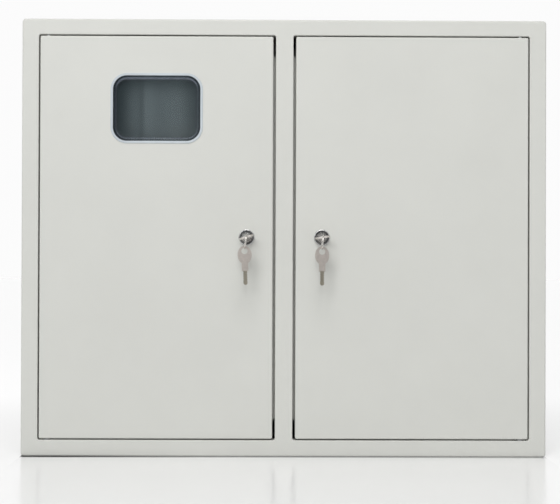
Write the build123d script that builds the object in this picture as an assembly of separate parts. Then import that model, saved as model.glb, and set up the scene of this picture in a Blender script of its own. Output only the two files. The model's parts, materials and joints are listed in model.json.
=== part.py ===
"""Two-door sheet-steel metering and distribution enclosure, 600 x 500 x 165 mm.

Frame: X to the right, Y into the wall, Z up, seen from the front along +Y. The origin is the centre of
the four wall holes, on the back face. Places behind the front face are given as a depth: 0 on the front
face of the cabinet, CABINET_DEPTH on the wall. Doors, locks and keys are in the state of rest: doors
shut, locks open, a key in each lock and a spare key hanging from the ring of each.
"""
from build123d import *
from math import cos, radians, sin, sqrt
import os

# Cabinet and sheet
CABINET_WIDTH = 600.0
CABINET_HEIGHT = 500.0
CABINET_DEPTH = 165.0
SHEET = 1.2
CORNER_RADIUS = 4.0
FRONT_BEND = 2.0
OPENING_BEND = 1.0

# Front frame with two door openings
SIDE_BORDER = 19.0
TOP_BORDER = 18.0
BOTTOM_BORDER = 18.8
POST_WIDTH = 20.0
OPENING_CORNER = 2.4
SEAT_DEPTH = 15.5
SEAT_WIDTH = 9.0
SEAT_END_GAP = 22.0

# Doors
HINGE_GAP = 1.5
LOCK_GAP = 3.0
END_GAP = 1.5
DOOR_DEPTH = 15.0
DOOR_CORNER = 2.0
DOOR_BEND = 1.6

# Concealed pin hinges
PIVOT_INSET = 9.0
PIVOT_DEPTH = 4.7
PIN_DIAMETER = 4.0
PIN_HEAD_DIAMETER = 8.0
PIN_HEAD_HEIGHT = 2.0
PIN_REACH = 8.0
PIN_RUNNING_CLEARANCE = 0.06
BUSH_DIAMETER = 6.6
BUSH_LENGTH = 7.0
WASHER_DIAMETER = 8.0
WASHER_CLEARANCE = 0.06

# Window in the left door
WINDOW_WIDTH = 100.0
WINDOW_HEIGHT = 75.0
WINDOW_CORNER = 16.0
WINDOW_TOP_BELOW_DOOR_TOP = 45.2
WINDOW_LIP_WIDTH = 2.7
WINDOW_LIP_HEIGHT = 1.0
WINDOW_LIP_ROUND = 0.7
WINDOW_WALL = 3.4
WINDOW_RECESS = 3.0
PANE_THICKNESS = 2.0
WINDOW_CLEARANCE = 0.15
SNAP_LUG_LENGTH = 10.0
SNAP_LUG_REACH = 1.4
SNAP_LUG_DEPTH = 2.4

# Cam locks, measured outwards and inwards from the door's front face
LOCK_INSET = 30.0
LOCK_HEAD_DIAMETER = 18.5
LOCK_HEAD_HEIGHT = 2.2
LOCK_HEAD_ROUND = 1.0
HEAD_GROOVE_WIDTH = 1.7
HEAD_GROOVE_DEPTH = 0.8
BARREL_DIAMETER = 15.6
BARREL_FLATS = 13.6
BARREL_LENGTH = 16.3
BARREL_HOLE_CLEARANCE = 0.1
LOCK_NUT_ACROSS_FLATS = 20.0
LOCK_NUT_THICKNESS = 4.0
PLUG_DIAMETER = 12.0
PLUG_RUNNING_CLEARANCE = 0.05
PLUG_FRONT = 1.6
PLUG_CHAMFER = 0.3
PLUG_LENGTH = 18.1
TAIL_WIDTH = 6.0
CAM_WASHER_THICKNESS = 0.5
CAM_THICKNESS = 2.0
CAM_WIDTH = 14.0
CAM_REACH = 38.0
CAM_HUB_DIAMETER = 17.0
CAM_SCREW_DIAMETER = 4.0
CAM_SCREW_LENGTH = 4.0
CAM_SCREW_HEAD_DIAMETER = 8.0
CAM_SCREW_HEAD_HEIGHT = 2.4

# Keys and the rings that join them
KEY_THICKNESS = 2.0
BOW_WIDTH = 15.9
BOW_LENGTH = 20.5
NECK_WIDTH = 7.3
NECK_LENGTH = 7.7
BLADE_WIDTH = 4.6
BLADE_LENGTH = 15.7
BLADE_GROOVE_WIDTH = 1.4
BLADE_GROOVE_DEPTH = 0.5
NOTCH_DEPTH = 0.7
NOTCH_PITCH = 2.6
NOTCH_COUNT = 4
KEY_HOLE_DIAMETER = 7.0
KEY_WEB = 2.4
NECK_OVAL_WIDTH = 3.4
NECK_OVAL_LENGTH = 5.4
NECK_OVAL_HEIGHT = 0.25
KEYWAY_CLEARANCE = 0.15
KEY_SHOULDER_GAP = 0.1
RING_RADIUS = 8.0
RING_WIRE_THICKNESS = 0.9
RING_WIRE_WIDTH = 0.87
RING_WIRE_CHAMFER = 0.2
RING_WEB_CLEARANCE = 0.03
SPARE_KEY_CLEARANCE = 0.08
LEFT_KEY_TILT = 17.0
LEFT_RING_LEAN = 8.0
LEFT_SPARE_TILT = 2.0
RIGHT_KEY_TILT = 9.0
RIGHT_RING_LEAN = 3.0
RIGHT_SPARE_TILT = 0.0

# Back panel, wall holes and earth studs
WALL_HOLE_DIAMETER = 8.0
WALL_HOLE_SIDE_INSET = 40.0
WALL_HOLE_END_INSET = 22.0
EARTH_STUD_DIAMETER = 6.0
EARTH_STUD_LENGTH = 18.0
EARTH_NUT_ACROSS_FLATS = 10.0
EARTH_NUT_THICKNESS = 5.0
EARTH_WASHER_DIAMETER = 12.0
EARTH_WASHER_THICKNESS = 1.6
CABINET_STUD_X = -60.0
CABINET_STUD_END_INSET = 35.0
DOOR_STUD_LENGTH = 12.0
DOOR_STUD_INSET_X = 60.0
DOOR_STUD_INSET_Z = 30.0

# Knock-outs in the top and bottom walls
KNOCKOUT_DIAMETERS = (22.0, 36.0)
KNOCKOUT_PITCH = 90.0
KNOCKOUT_DEPTH_PLACE = 110.0
KNOCKOUT_GROOVE_WIDTH = 0.8
KNOCKOUT_GROOVE_DEPTH = 0.8

# Partition between the two compartments
PARTITION_FOOT = 15.0
CABLE_HOLE_DIAMETER = 32.0
CABLE_HOLE_DEPTH_PLACE = 110.0
CABLE_HOLE_END_INSET = 45.0
CABLE_HOLE_PITCH = 55.0
GROMMET_BORE_DIAMETER = 24.0
GROMMET_FLANGE_DIAMETER = 38.0
GROMMET_FLANGE_THICKNESS = 2.0
GROMMET_CHAMFER = 0.8

# Meter plate and breaker rail in the left compartment
METER_PLATE_WIDTH = 210.0
METER_PLATE_BOTTOM_INSET = 140.0
METER_PLATE_TOP_INSET = 60.0
METER_PLATE_STANDOFF = 30.0
METER_PLATE_FOOT = 14.0
METER_SLOT_WIDTH = 6.5
METER_SLOT_LENGTH = 70.0
METER_SLOT_SPACING = 110.0
METER_SLOT_TOP_INSET = 130.0
METER_SLOT_BOTTOM_INSET = 80.0
PLATE_SCREW_DIAMETER = 4.0
PLATE_SCREW_HEAD_DIAMETER = 8.0
PLATE_SCREW_HEAD_HEIGHT = 2.6
PLATE_SCREW_END_INSET = 20.0
BREAKER_RAIL_LENGTH = 150.0
BREAKER_RAIL_BOTTOM_INSET = 75.0
BREAKER_BRACKET_INSET = 20.0

# Rails of the right compartment
RAIL_WIDTH = 35.0
RAIL_CROWN_WIDTH = 27.0
RAIL_SECTION_DEPTH = 7.5
RAIL_SHEET = 1.0
RAIL_ROWS = 4
RAIL_OVERHANG = 7.0
OUTER_RAIL_INSET = 49.0
UPRIGHT_WIDTH = 20.0
UPRIGHT_DEPTH = 20.0
UPRIGHT_END_GAP = 36.0
UPRIGHT_PANEL_INSET = 12.0
RAIL_SCREW_DIAMETER = 4.0
RAIL_SCREW_HEAD_DIAMETER = 7.5
RAIL_SCREW_HEAD_HEIGHT = 2.6
RAIL_SCREW_LENGTH = 6.0
SCREW_CLEARANCE = 0.1
SCREW_SLOT_WIDTH = 1.0
SCREW_SLOT_DEPTH = 0.8

# False panel over the rails
FALSE_PANEL_SIDE_GAP = 8.5
FALSE_PANEL_END_GAP = 32.0
FALSE_PANEL_DEPTH_PLACE = 86.0
FALSE_PANEL_FLANGE = 12.0
MODULE_SLOT_SIDE_INSET = 19.0
MODULE_SLOT_HEIGHT = 45.0
PILLAR_ACROSS_FLATS = 10.0
PILLAR_END_INSET = 13.0
PANEL_SCREW_DIAMETER = 4.0
PANEL_SCREW_LENGTH = 9.0
PANEL_SCREW_HEAD_DIAMETER = 9.0
PANEL_SCREW_HEAD_HEIGHT = 3.6

# Neutral and earth bars
BAR_LENGTH = 120.0
BAR_HEIGHT = 9.0
BAR_THICKNESS = 6.5
BAR_SCREWS = 7
BAR_SCREW_DIAMETER = 4.0
BAR_SCREW_HEAD_DIAMETER = 5.8
BAR_SCREW_HEAD_HEIGHT = 2.0
BAR_SCREW_LENGTH = 4.0
BAR_END_INSET = 24.0
INSULATOR_WIDTH = 14.0
INSULATOR_HEIGHT = 20.0
INSULATOR_DEPTH = 22.0
EARTH_POST_DEPTH = 8.0
SUPPORT_CHAMFER = 1.0

# Places that follow from the sizes above
HALF_WIDTH = CABINET_WIDTH / 2
HALF_HEIGHT = CABINET_HEIGHT / 2
BACK_FACE_DEPTH = CABINET_DEPTH - SHEET
OPENING_BOTTOM = -HALF_HEIGHT + BOTTOM_BORDER
OPENING_TOP = HALF_HEIGHT - TOP_BORDER
OPENING_WIDTH = HALF_WIDTH - SIDE_BORDER - POST_WIDTH / 2
DOOR_WIDTH = OPENING_WIDTH - HINGE_GAP - LOCK_GAP
DOOR_BOTTOM = OPENING_BOTTOM + END_GAP
DOOR_TOP = OPENING_TOP - END_GAP
DOOR_LOCK_EDGE_X = POST_WIDTH / 2 + LOCK_GAP
DOOR_HINGE_EDGE_X = DOOR_LOCK_EDGE_X + DOOR_WIDTH
DOOR_MIDDLE_X = (DOOR_LOCK_EDGE_X + DOOR_HINGE_EDGE_X) / 2
PIVOT_X = DOOR_HINGE_EDGE_X - PIVOT_INSET
LOCK_X = DOOR_LOCK_EDGE_X + LOCK_INSET
LOCK_Z = (DOOR_TOP + DOOR_BOTTOM) / 2
WINDOW_X = -DOOR_MIDDLE_X
WINDOW_Z = DOOR_TOP - WINDOW_TOP_BELOW_DOOR_TOP - WINDOW_HEIGHT / 2
WALL_HOLE_X = HALF_WIDTH - WALL_HOLE_SIDE_INSET
WALL_HOLE_Z = HALF_HEIGHT - WALL_HOLE_END_INSET
CABINET_STUD_Z = -HALF_HEIGHT + CABINET_STUD_END_INSET
LOW_CABLE_HOLE_Z = -HALF_HEIGHT + CABLE_HOLE_END_INSET
CABLE_HOLE_HEIGHTS = (LOW_CABLE_HOLE_Z, LOW_CABLE_HOLE_Z + CABLE_HOLE_PITCH)
METER_PLATE_BOTTOM = -HALF_HEIGHT + METER_PLATE_BOTTOM_INSET
METER_PLATE_TOP = HALF_HEIGHT - METER_PLATE_TOP_INSET
BREAKER_RAIL_Z = -HALF_HEIGHT + BREAKER_RAIL_BOTTOM_INSET
UPRIGHT_FRONT_DEPTH = BACK_FACE_DEPTH - UPRIGHT_DEPTH
UPRIGHT_HALF_HEIGHT = HALF_HEIGHT - UPRIGHT_END_GAP
FALSE_PANEL_WIDTH = OPENING_WIDTH - 2 * FALSE_PANEL_SIDE_GAP
FALSE_PANEL_HALF_HEIGHT = HALF_HEIGHT - FALSE_PANEL_END_GAP
MODULE_SLOT_WIDTH = FALSE_PANEL_WIDTH - 2 * MODULE_SLOT_SIDE_INSET
UPRIGHT_SPACING = FALSE_PANEL_WIDTH - 2 * UPRIGHT_PANEL_INSET
RAIL_LENGTH = UPRIGHT_SPACING + 2 * RAIL_OVERHANG
RAIL_PITCH = 2 * (UPRIGHT_HALF_HEIGHT - OUTER_RAIL_INSET) / (RAIL_ROWS - 1)
RAIL_XS = (DOOR_MIDDLE_X - UPRIGHT_SPACING / 2, DOOR_MIDDLE_X + UPRIGHT_SPACING / 2)
RAIL_HEIGHTS = [RAIL_PITCH * (row - (RAIL_ROWS - 1) / 2) for row in range(RAIL_ROWS)]
BAR_Z = HALF_HEIGHT - BAR_END_INSET
PLUG_BACK = PLUG_FRONT - PLUG_LENGTH
CAM_FRONT = PLUG_BACK - CAM_WASHER_THICKNESS
CAM_BACK = CAM_FRONT - CAM_THICKNESS
BOW_TOP_TO_HOLE = KEY_WEB + KEY_HOLE_DIAMETER / 2
RING_HALF_THICKNESS = RING_WIRE_THICKNESS / 2
RING_SECTION_REACH = sqrt(RING_WIRE_WIDTH ** 2 + RING_HALF_THICKNESS ** 2)
SPARE_KEY_HANG = KEY_HOLE_DIAMETER / 2 - RING_SECTION_REACH - SPARE_KEY_CLEARANCE
INSERTED_HOLE_OUT = PLUG_FRONT + KEY_SHOULDER_GAP + NECK_LENGTH + BOW_LENGTH - BOW_TOP_TO_HOLE
RING_PIVOT_OUT = INSERTED_HOLE_OUT + BOW_TOP_TO_HOLE - KEY_WEB / 2


def front_plane(depth):
    """A plane parallel to the front: its x is to the right, its y is up, and its normal points at the viewer."""
    return Plane(origin=(0, depth - CABINET_DEPTH, 0), x_dir=(1, 0, 0), z_dir=(0, -1, 0))


def plate(sketch, depth_from, depth_to):
    """A sketch drawn as seen from the front, made solid between two depths."""
    return extrude(front_plane(depth_to) * sketch, amount=depth_to - depth_from)


def rectangle(x_from, x_to, z_from, z_to, corner=0.0):
    """A rectangle as seen from the front, with rounded corners where a radius is given."""
    width = x_to - x_from
    height = z_to - z_from
    shape = RectangleRounded(width, height, corner) if corner else Rectangle(width, height)
    return Pos((x_from + x_to) / 2, (z_from + z_to) / 2) * shape


def front_edges(solid):
    """The edges of the frontmost face of a solid."""
    return solid.faces().sort_by(Axis.Y)[0].edges()


def disc(depth_from, depth_to, x, z, diameter):
    """A round bar square to the front, between two depths."""
    return plate(Pos(x, z) * Circle(diameter / 2), depth_from, depth_to)


def hexagon(depth_from, depth_to, x, z, across_flats):
    """A hexagonal bar square to the front, between two depths."""
    return plate(Pos(x, z) * RegularPolygon(across_flats / 2, 6, major_radius=False), depth_from, depth_to)


def headed_screw(head_front, x, z, head_diameter, head_height, shank_diameter, shank_length):
    """A cheese-head screw driven towards the wall, with one slot across its head."""
    head = disc(head_front, head_front + head_height, x, z, head_diameter)
    slot = Rectangle(head_diameter, SCREW_SLOT_WIDTH)
    head -= plate(Pos(x, z) * slot, head_front, head_front + SCREW_SLOT_DEPTH)
    under_head = head_front + head_height
    return head + disc(under_head, under_head + shank_length, x, z, shank_diameter)


def opening_rectangle(side, grow=0.0):
    """One door opening of the front frame, larger all round by grow."""
    x_from = side * POST_WIDTH / 2
    x_to = side * (POST_WIDTH / 2 + OPENING_WIDTH)
    low, high = min(x_from, x_to), max(x_from, x_to)
    return rectangle(low - grow, high + grow, OPENING_BOTTOM - grow, OPENING_TOP + grow, OPENING_CORNER + grow)


def seat_strips(side):
    """The rebate behind one door: strips at the top, the bottom and the lock side that stop short of the corners."""
    lock_edge = POST_WIDTH / 2
    hinge_edge = lock_edge + OPENING_WIDTH
    across = sorted((side * (lock_edge + SEAT_END_GAP), side * (hinge_edge - SEAT_END_GAP)))
    lock_strip = sorted((side * (lock_edge - SHEET / 2), side * (lock_edge + SEAT_WIDTH)))
    top = rectangle(*across, OPENING_TOP - SEAT_WIDTH, OPENING_TOP + SHEET / 2)
    bottom = rectangle(*across, OPENING_BOTTOM - SHEET / 2, OPENING_BOTTOM + SEAT_WIDTH)
    lock_side = rectangle(*lock_strip, OPENING_BOTTOM + SEAT_END_GAP, OPENING_TOP - SEAT_END_GAP)
    return plate(top + bottom + lock_side, SEAT_DEPTH, SEAT_DEPTH + SHEET)


def knockout_groove(x, wall_face, into_wall, diameter):
    """The ring groove of one knock-out, cut from the outside of the top or bottom wall."""
    ring = Circle(diameter / 2) - Circle(diameter / 2 - KNOCKOUT_GROOVE_WIDTH)
    plane = Plane(origin=(x, KNOCKOUT_DEPTH_PLACE - CABINET_DEPTH, wall_face), z_dir=(0, 0, into_wall))
    return extrude(plane * ring, amount=KNOCKOUT_GROOVE_DEPTH)


def body_shell():
    """Walls and front frame, with the lips and rebates of the two door openings, as one folded and welded shell."""
    outer = plate(RectangleRounded(CABINET_WIDTH, CABINET_HEIGHT, CORNER_RADIUS), 0, CABINET_DEPTH)
    outer = fillet(front_edges(outer), FRONT_BEND)
    hollow_outline = RectangleRounded(CABINET_WIDTH - 2 * SHEET, CABINET_HEIGHT - 2 * SHEET, CORNER_RADIUS - SHEET)
    hollow = plate(hollow_outline, SHEET, CABINET_DEPTH)
    hollow = fillet(front_edges(hollow), FRONT_BEND - SHEET)
    shell = outer - hollow
    for side in (-1, 1):
        lip = opening_rectangle(side, SHEET) - opening_rectangle(side)
        shell += plate(lip, SHEET, SEAT_DEPTH + SHEET)
        shell -= plate(opening_rectangle(side), 0, SHEET)
    rims = [e for e in front_edges(shell) if abs(e.center().X) < HALF_WIDTH - SIDE_BORDER / 2
            and abs(e.center().Z) < HALF_HEIGHT - TOP_BORDER / 2]
    shell = fillet(rims, OPENING_BEND)
    for side in (-1, 1):
        shell += seat_strips(side)
        for place, diameter in enumerate(KNOCKOUT_DIAMETERS):
            x = side * (DOOR_MIDDLE_X + KNOCKOUT_PITCH * (place - (len(KNOCKOUT_DIAMETERS) - 1) / 2))
            shell -= knockout_groove(x, HALF_HEIGHT, -1, diameter)
            shell -= knockout_groove(x, -HALF_HEIGHT, 1, diameter)
    return shell


def back_panel():
    """The rear sheet between the walls, with the four wall holes."""
    inner_width = CABINET_WIDTH - 2 * SHEET
    inner_height = CABINET_HEIGHT - 2 * SHEET
    outline = RectangleRounded(inner_width, inner_height, CORNER_RADIUS - SHEET)
    for x_side in (-1, 1):
        for z_side in (-1, 1):
            outline -= Pos(x_side * WALL_HOLE_X, z_side * WALL_HOLE_Z) * Circle(WALL_HOLE_DIAMETER / 2)
    return plate(outline, BACK_FACE_DEPTH, CABINET_DEPTH)


def door(side):
    """A folded door pan, flush with the front frame: side is -1 for the left door and 1 for the right one."""
    outline = rectangle(*sorted((side * DOOR_LOCK_EDGE_X, side * DOOR_HINGE_EDGE_X)), DOOR_BOTTOM, DOOR_TOP,
                        DOOR_CORNER)
    inner_edges = sorted((side * (DOOR_LOCK_EDGE_X + SHEET), side * (DOOR_HINGE_EDGE_X - SHEET)))
    inner_outline = rectangle(*inner_edges, DOOR_BOTTOM + SHEET, DOOR_TOP - SHEET, DOOR_CORNER - SHEET)
    block = plate(outline, 0, DOOR_DEPTH)
    block = fillet(front_edges(block), DOOR_BEND)
    hollow = plate(inner_outline, SHEET, DOOR_DEPTH)
    hollow = fillet(front_edges(hollow), DOOR_BEND - SHEET)
    pan = block - hollow
    pan -= plate(Pos(side * LOCK_X, LOCK_Z) * barrel_outline(BARREL_HOLE_CLEARANCE), 0, SHEET)
    pin_hole = Cylinder(PIN_DIAMETER / 2 + PIN_RUNNING_CLEARANCE, CABINET_HEIGHT)
    pan -= Pos(side * PIVOT_X, PIVOT_DEPTH - CABINET_DEPTH, 0) * pin_hole
    if side < 0:
        pan -= plate(window_outline(WINDOW_X, WINDOW_Z), 0, SHEET)
    return pan


def upright_disc(x, depth, z_from, z_to, diameter):
    """A round bar that stands along Z at one depth."""
    return Pos(x, depth - CABINET_DEPTH, (z_from + z_to) / 2) * Cylinder(diameter / 2, z_to - z_from)


def door_bushes(side):
    """The two welded bushes of one door that its hinge pins turn in."""
    bushes = []
    for z_from, z_to in ((DOOR_TOP - SHEET - BUSH_LENGTH, DOOR_TOP - SHEET),
                         (DOOR_BOTTOM + SHEET, DOOR_BOTTOM + SHEET + BUSH_LENGTH)):
        bush = upright_disc(side * PIVOT_X, PIVOT_DEPTH, z_from, z_to, BUSH_DIAMETER)
        bush -= upright_disc(side * PIVOT_X, PIVOT_DEPTH, z_from, z_to, PIN_DIAMETER + 2 * PIN_RUNNING_CLEARANCE)
        bushes.append(bush)
    return bushes


def upper_hinge_pins():
    """Headed pins dropped through the upper lip of the frame into the doors."""
    lip_top = OPENING_TOP + SHEET
    pins = []
    for side in (-1, 1):
        head = upright_disc(side * PIVOT_X, PIVOT_DEPTH, lip_top, lip_top + PIN_HEAD_HEIGHT, PIN_HEAD_DIAMETER)
        head &= plate(Rectangle(CABINET_WIDTH, CABINET_HEIGHT), SHEET, SEAT_DEPTH)
        shank = upright_disc(side * PIVOT_X, PIVOT_DEPTH, DOOR_TOP - PIN_REACH, lip_top, PIN_DIAMETER)
        pins.append(head + shank)
    return pins


def lower_hinge_pins():
    """Headed pins pressed up through the lower lip of the frame, which carry the doors."""
    lip_bottom = OPENING_BOTTOM - SHEET
    pins = []
    for side in (-1, 1):
        head = upright_disc(side * PIVOT_X, PIVOT_DEPTH, lip_bottom - PIN_HEAD_HEIGHT, lip_bottom,
                            PIN_HEAD_DIAMETER)
        head &= plate(Rectangle(CABINET_WIDTH, CABINET_HEIGHT), SHEET, SEAT_DEPTH)
        shank = upright_disc(side * PIVOT_X, PIVOT_DEPTH, lip_bottom, DOOR_BOTTOM + PIN_REACH, PIN_DIAMETER)
        pins.append(head + shank)
    return pins


def hinge_washers():
    """The washers on the lower pins that the doors run on."""
    washers = []
    for side in (-1, 1):
        top = OPENING_BOTTOM + END_GAP - WASHER_CLEARANCE
        washer = upright_disc(side * PIVOT_X, PIVOT_DEPTH, OPENING_BOTTOM, top, WASHER_DIAMETER)
        washer -= upright_disc(side * PIVOT_X, PIVOT_DEPTH, OPENING_BOTTOM, top, PIN_DIAMETER)
        washers.append(washer)
    return washers


def pin_holes_in_lips(shell):
    """The frame's lips with the holes that hold the hinge pins."""
    for side in (-1, 1):
        for z_from, z_to in ((OPENING_TOP, OPENING_TOP + SHEET), (OPENING_BOTTOM - SHEET, OPENING_BOTTOM)):
            shell -= upright_disc(side * PIVOT_X, PIVOT_DEPTH, z_from, z_to, PIN_DIAMETER)
    return shell


def window_outline(x, z, grow=0.0):
    """The window hole as seen from the front, larger all round by grow."""
    return Pos(x, z) * RectangleRounded(WINDOW_WIDTH + 2 * grow, WINDOW_HEIGHT + 2 * grow, WINDOW_CORNER + grow)


def window_pane():
    """The clear moulded window: a lip over the paint, a wall through the hole, a sunk pane and snap lugs."""
    lip = plate(window_outline(WINDOW_X, WINDOW_Z, WINDOW_LIP_WIDTH), -WINDOW_LIP_HEIGHT, 0)
    lip = fillet(front_edges(lip), WINDOW_LIP_ROUND)
    pane_back = WINDOW_RECESS + PANE_THICKNESS
    wall = plate(window_outline(WINDOW_X, WINDOW_Z, -WINDOW_CLEARANCE), 0, pane_back)
    sunk = plate(window_outline(WINDOW_X, WINDOW_Z, -WINDOW_WALL), -WINDOW_LIP_HEIGHT, WINDOW_RECESS)
    pane = lip + wall - sunk
    lug_front = SHEET + WINDOW_CLEARANCE
    for vertical, reach, count in ((0, WINDOW_WIDTH / 2, 2), (1, WINDOW_HEIGHT / 2, 2)):
        for end in (-1, 1):
            for place in range(count):
                along = (place - (count - 1) / 2) * 2 * SNAP_LUG_LENGTH
                out = end * (reach + SNAP_LUG_REACH / 2 - WINDOW_WALL / 2)
                across = SNAP_LUG_REACH + WINDOW_WALL
                size = (SNAP_LUG_LENGTH, across) if vertical else (across, SNAP_LUG_LENGTH)
                at = (along, out) if vertical else (out, along)
                lug = Pos(WINDOW_X + at[0], WINDOW_Z + at[1]) * Rectangle(*size)
                pane += plate(lug, lug_front, lug_front + SNAP_LUG_DEPTH)
    return pane


def barrel_outline(grow=0.0):
    """The section of a lock barrel, round with two flats, larger all round by grow."""
    flats = Rectangle(BARREL_FLATS + 2 * grow, BARREL_DIAMETER + 2 * grow)
    return Circle(BARREL_DIAMETER / 2 + grow) & flats


def at_lock(side, tilt=0.0):
    """The place of a lock: z is outwards along its axis, y is up, turned anticlockwise for the viewer by tilt."""
    across = (cos(radians(tilt)), 0, sin(radians(tilt)))
    return Plane(origin=(side * LOCK_X, -CABINET_DEPTH, LOCK_Z), x_dir=across, z_dir=(0, -1, 0))


def bar(outline, low, high):
    """An outline made solid from low to high along its own plane's normal."""
    return extrude(Plane.XY.offset(low) * outline, amount=high - low)


def lock_body():
    """The plated body: a rounded head with a sunk ring, and a barrel with two flats, bored for the plug."""
    head = bar(Circle(LOCK_HEAD_DIAMETER / 2), 0, LOCK_HEAD_HEIGHT)
    head = fillet(head.faces().sort_by(Axis.Z)[-1].edges(), LOCK_HEAD_ROUND)
    groove_outer = PLUG_DIAMETER / 2 + HEAD_GROOVE_WIDTH
    groove = bar(Circle(groove_outer), LOCK_HEAD_HEIGHT - HEAD_GROOVE_DEPTH, LOCK_HEAD_HEIGHT)
    body = head + bar(barrel_outline(), -BARREL_LENGTH, 0) - groove
    return body - bar(Circle(PLUG_DIAMETER / 2 + PLUG_RUNNING_CLEARANCE), -BARREL_LENGTH, LOCK_HEAD_HEIGHT)


def lock_nut():
    """The hexagon nut that clamps the lock to the door from behind."""
    outline = RegularPolygon(LOCK_NUT_ACROSS_FLATS / 2, 6, major_radius=False)
    outline -= barrel_outline(BARREL_HOLE_CLEARANCE)
    return bar(outline, -SHEET - LOCK_NUT_THICKNESS, -SHEET)


def lock_plug():
    """The turning plug with its keyway in front and its square tail with the screw hole behind."""
    plug = bar(Circle(PLUG_DIAMETER / 2), PLUG_BACK, PLUG_FRONT)
    plug = chamfer(plug.faces().sort_by(Axis.Z)[-1].edges(), PLUG_CHAMFER)
    tail_back = CAM_BACK + PLUG_RUNNING_CLEARANCE
    plug += bar(Rectangle(TAIL_WIDTH, TAIL_WIDTH), tail_back, PLUG_BACK)
    keyway = Rectangle(BLADE_WIDTH + 2 * KEYWAY_CLEARANCE, KEY_THICKNESS + 2 * KEYWAY_CLEARANCE)
    plug -= bar(keyway, PLUG_FRONT - BLADE_LENGTH - 2 * KEYWAY_CLEARANCE, PLUG_FRONT)
    return plug - bar(Circle(CAM_SCREW_DIAMETER / 2), tail_back, CAM_BACK + CAM_SCREW_LENGTH)


def cam_washer():
    """The square-holed washer between the barrel and the cam."""
    hole = Rectangle(TAIL_WIDTH, TAIL_WIDTH)
    return bar(Circle(PLUG_DIAMETER / 2) - hole, CAM_FRONT, PLUG_BACK)


def lock_cam():
    """The locking cam, a flat arm with a round end, held by the square of the plug."""
    arm = Pos(0, (CAM_REACH - CAM_WIDTH / 2) / 2) * Rectangle(CAM_WIDTH, CAM_REACH - CAM_WIDTH / 2)
    outline = Circle(CAM_HUB_DIAMETER / 2) + arm + Pos(0, CAM_REACH - CAM_WIDTH / 2) * Circle(CAM_WIDTH / 2)
    outline -= Rectangle(TAIL_WIDTH, TAIL_WIDTH)
    return bar(outline, CAM_BACK, CAM_FRONT)


def cam_screw():
    """The screw that holds the cam on the plug."""
    head = bar(RegularPolygon(CAM_SCREW_HEAD_DIAMETER / 2, 6), CAM_BACK - CAM_SCREW_HEAD_HEIGHT, CAM_BACK)
    return head + bar(Circle(CAM_SCREW_DIAMETER / 2), CAM_BACK, CAM_BACK + CAM_SCREW_LENGTH)


def key():
    """A flat key with its ring hole at the origin, its bow above and its blade below, as if hanging."""
    top = BOW_TOP_TO_HOLE
    shoulder = top - BOW_LENGTH
    neck_end = shoulder - NECK_LENGTH
    tip = neck_end - BLADE_LENGTH
    bow_middle = top - BOW_LENGTH / 2
    outline = Pos(0, bow_middle) * Ellipse(BOW_WIDTH / 2, BOW_LENGTH / 2)
    outline += Pos(0, (bow_middle + neck_end) / 2) * Rectangle(NECK_WIDTH, bow_middle - neck_end)
    blade_end = tip + BLADE_WIDTH / 2
    outline += Pos(0, (neck_end + blade_end) / 2) * Rectangle(BLADE_WIDTH, neck_end - blade_end)
    outline += Pos(0, blade_end) * Circle(BLADE_WIDTH / 2)
    outline -= Circle(KEY_HOLE_DIAMETER / 2)
    for side in (-1, 1):
        for place in range(NOTCH_COUNT):
            notch_y = neck_end - NOTCH_PITCH * (place + 1) - side * NOTCH_PITCH / 4
            outline -= Pos(side * BLADE_WIDTH / 2, notch_y) * Rot(0, 0, 45) * Rectangle(
                NOTCH_DEPTH * sqrt(2), NOTCH_DEPTH * sqrt(2))
    solid = bar(outline, -KEY_THICKNESS / 2, KEY_THICKNESS / 2)
    groove_length = BLADE_LENGTH - BLADE_WIDTH / 2
    for face in (-1, 1):
        groove_middle = face * (KEY_THICKNESS / 2 - BLADE_GROOVE_DEPTH / 2)
        groove = Box(BLADE_GROOVE_WIDTH, groove_length, BLADE_GROOVE_DEPTH)
        solid -= Pos(0, neck_end - groove_length / 2, groove_middle) * groove
        oval = Ellipse(NECK_OVAL_WIDTH / 2, NECK_OVAL_LENGTH / 2)
        low, high = sorted((face * KEY_THICKNESS / 2, face * (KEY_THICKNESS / 2 + NECK_OVAL_HEIGHT)))
        solid += Pos(0, (shoulder + neck_end) / 2) * bar(oval, low, high)
    return solid


def split_ring():
    """A ring of two turns of flattened wire side by side, with its axis along X."""
    turn = Rectangle(RING_WIRE_WIDTH, RING_WIRE_THICKNESS)
    turn = chamfer(turn.vertices(), RING_WIRE_CHAMFER)
    section = Pos(-RING_WIRE_WIDTH / 2, RING_RADIUS) * turn + Pos(RING_WIRE_WIDTH / 2, RING_RADIUS) * turn
    return revolve(section, Axis.X)


def ring_drop(turn):
    """How far the ring's centre hangs from its pivot, so that it swings free round a web turned from it by turn."""
    across = cos(radians(turn))
    up = sin(radians(turn))
    half_thickness = KEY_THICKNESS / 2
    edge_x = (RING_WIRE_WIDTH + half_thickness * up) / across
    edge_height = edge_x * up + half_thickness * across
    hole_radius = KEY_HOLE_DIAMETER / 2
    edge_reach = hole_radius + KEY_WEB / 2 - sqrt(hole_radius ** 2 - edge_x ** 2)
    web_corner = sqrt(edge_reach ** 2 + edge_height ** 2)
    return RING_RADIUS - RING_HALF_THICKNESS - web_corner - RING_WEB_CLEARANCE


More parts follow.
